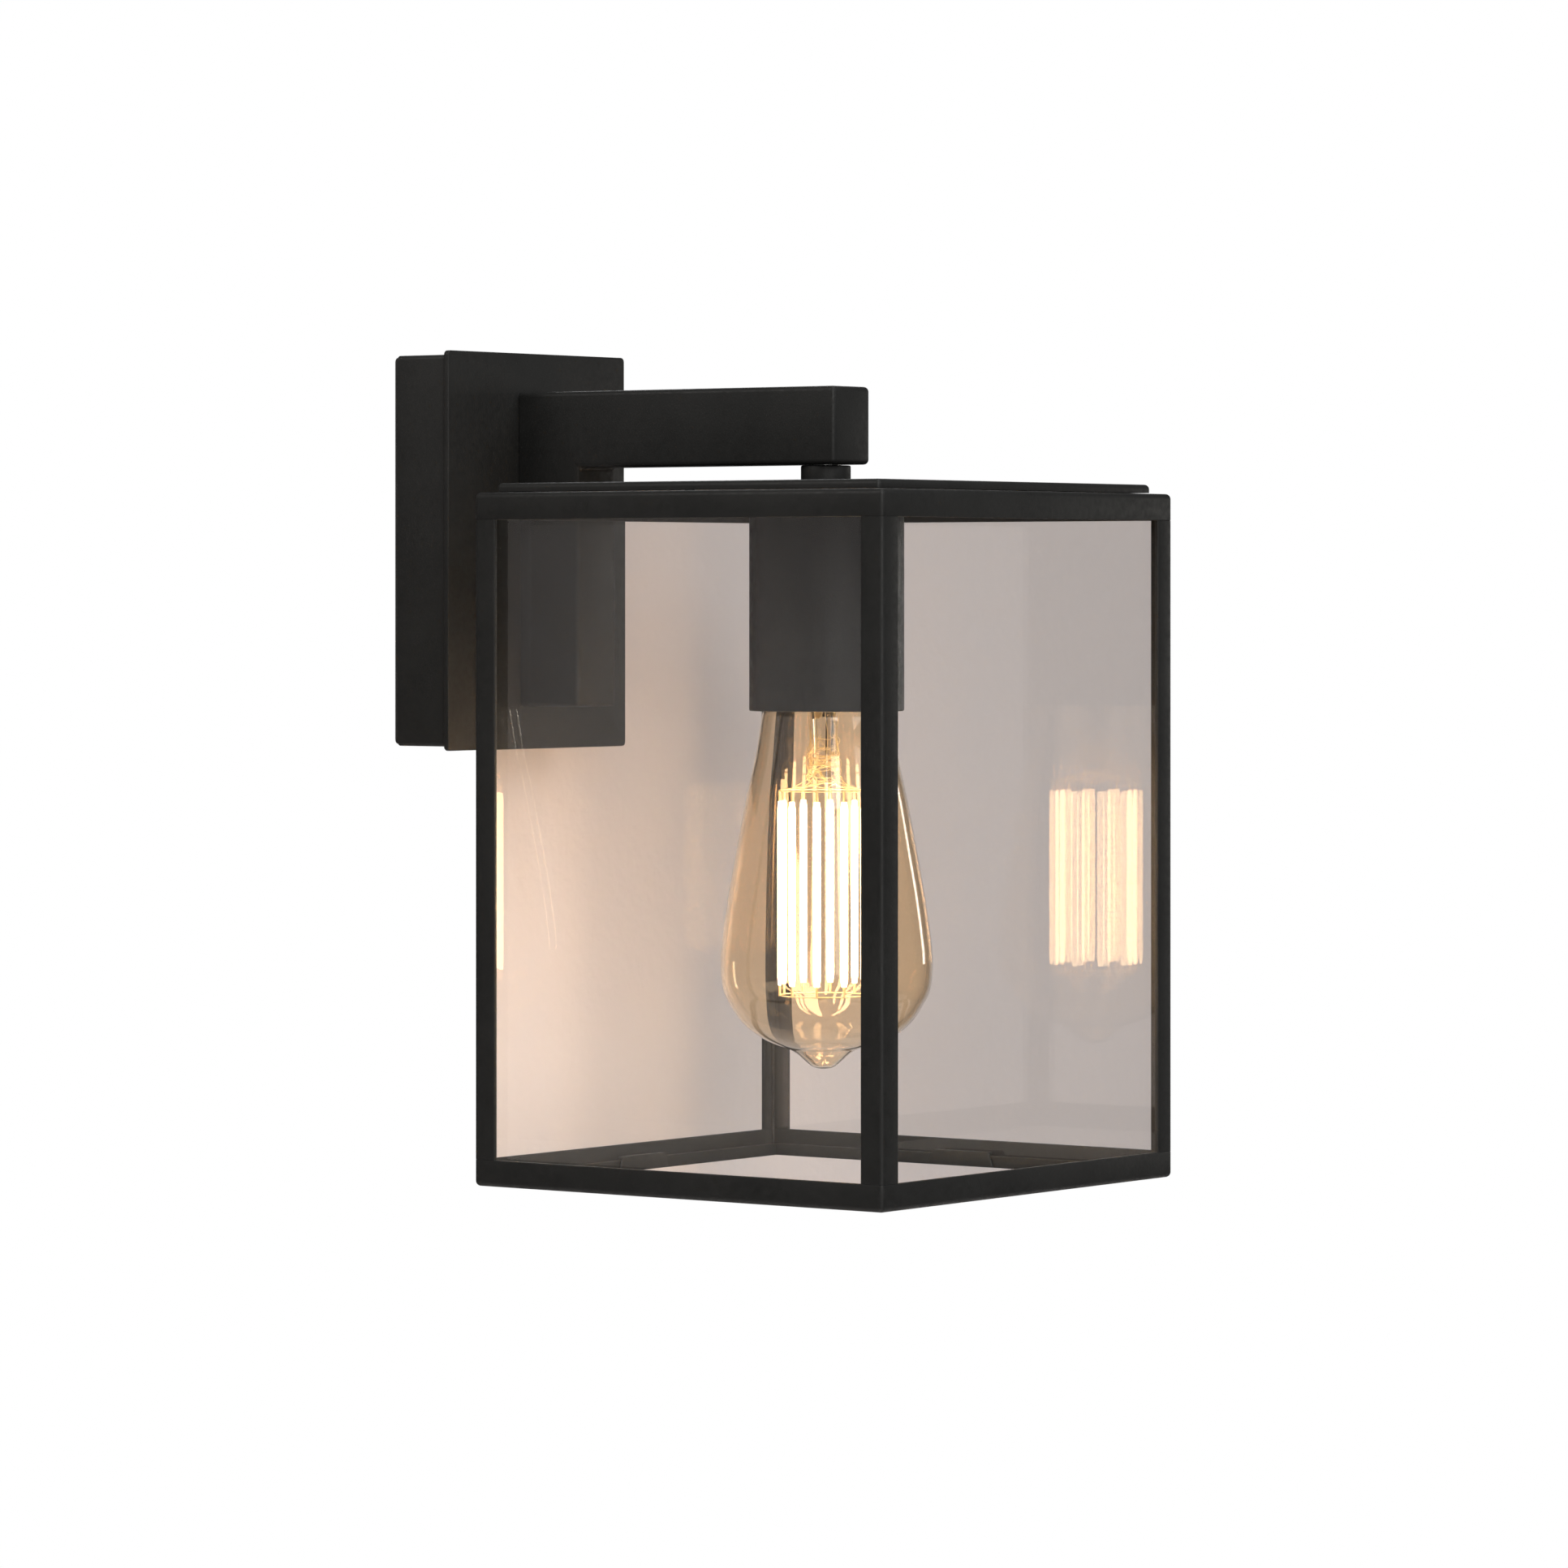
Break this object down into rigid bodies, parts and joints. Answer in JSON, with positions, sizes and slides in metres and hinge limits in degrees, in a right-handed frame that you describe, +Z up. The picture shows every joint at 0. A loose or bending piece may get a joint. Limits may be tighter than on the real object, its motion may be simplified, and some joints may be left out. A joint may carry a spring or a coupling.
{
  "type": "outdoor wall lantern",
  "caption": "Square glazed lantern with an open bottom, hung from an L-shaped arm on a wall plate, with a screw-cap filament bulb in a round lampholder.",
  "frame": {"origin": "centre of the wall bracket's wall face", "axes": "+Y into the wall, -Y out from the wall to the lantern's front, +X to the right seen from the front, +Z up"},
  "size_m": [0.16, 0.222, 0.2674],
  "materials": {
    "black_powder_coat": "fine textured black powder coat, satin",
    "zinc_plate": "bright zinc plated steel",
    "nickel_plate": "nickel plated brass",
    "black_rubber": "matt black rubber",
    "white_plastic": "matt off-white moulded plastic",
    "black_plastic": "satin black moulded plastic",
    "clear_glass": "clear float glass",
    "amber_glass": "lightly amber-tinted blown glass",
    "led_filament": "yellow phosphor-coated filament, lit",
    "brown_insulation": "brown wire insulation",
    "blue_insulation": "blue wire insulation",
    "green_insulation": "green and yellow wire insulation"
  },
  "bodies": {
    "fixture": {"wall_bracket": "zinc_plate", "wall_gasket": "black_rubber", "canopy_box": "black_powder_coat", "front_plate": "black_powder_coat", "canopy_screw_upper": "zinc_plate", "canopy_screw_lower": "zinc_plate", "terminal_block": "white_plastic", "earth_screw": "zinc_plate", "cable_grommet": "black_rubber", "arm_bracket": "black_powder_coat", "arm_screw_upper": "zinc_plate", "arm_screw_lower": "zinc_plate", "arm_spacer": "black_powder_coat", "threaded_tube": "zinc_plate", "tube_nut": "zinc_plate", "roof_plate": "black_powder_coat", "roof_screw_1": "zinc_plate", "roof_screw_2": "zinc_plate", "roof_screw_3": "zinc_plate", "roof_screw_4": "zinc_plate", "top_rail_front": "black_powder_coat", "top_rail_right": "black_powder_coat", "top_rail_rear": "black_powder_coat", "top_rail_left": "black_powder_coat", "bottom_rail_front": "black_powder_coat", "bottom_rail_right": "black_powder_coat", "bottom_rail_rear": "black_powder_coat", "bottom_rail_left": "black_powder_coat", "corner_post_front_left": "black_powder_coat", "corner_post_front_right": "black_powder_coat", "corner_post_rear_left": "black_powder_coat", "corner_post_rear_right": "black_powder_coat", "glass_pane_front": "clear_glass", "glass_pane_right": "clear_glass", "glass_pane_rear": "clear_glass", "glass_pane_left": "clear_glass", "glass_clip_front": "black_powder_coat", "glass_clip_right": "black_powder_coat", "glass_clip_rear": "black_powder_coat", "glass_clip_left": "black_powder_coat", "lampholder_cup": "black_powder_coat", "lampholder_body": "black_plastic", "lampholder_shell": "nickel_plate", "live_wire": "brown_insulation", "neutral_wire": "blue_insulation", "earth_wire": "green_insulation"},
    "holder_contact": {"lampholder_contact": "nickel_plate"},
    "bulb_base": {"bulb_insulator": "black_plastic", "bulb_contact": "nickel_plate"},
    "bulb": {"bulb_cap": "nickel_plate", "bulb_driver": "white_plastic", "bulb_glass": "amber_glass", "bulb_stem": "clear_glass", "filament_cage": "led_filament"}
  },
  "joints": [
    {"name": "contact_press", "type": "slide", "parent": "fixture", "child": "holder_contact", "axis": [0, 0, 1], "range_m": [0, 0.0012], "stiffness_N_per_m": 1500},
    {"name": "bulb_thread_travel", "type": "slide", "parent": "fixture", "child": "bulb_base", "axis": [0, 0, -1], "range_m": [0, 0.01815]},
    {"name": "bulb_unscrew", "type": "hinge", "parent": "bulb_base", "child": "bulb", "pos_m": [0, -0.142, -0.03], "axis": [0, 0, -1], "range_deg": [0, 1800]}
  ],
  "couplings": [
    {"joint": "bulb_thread_travel", "follows": "bulb_unscrew", "m_per_rad": 0.00057757}
  ]
}
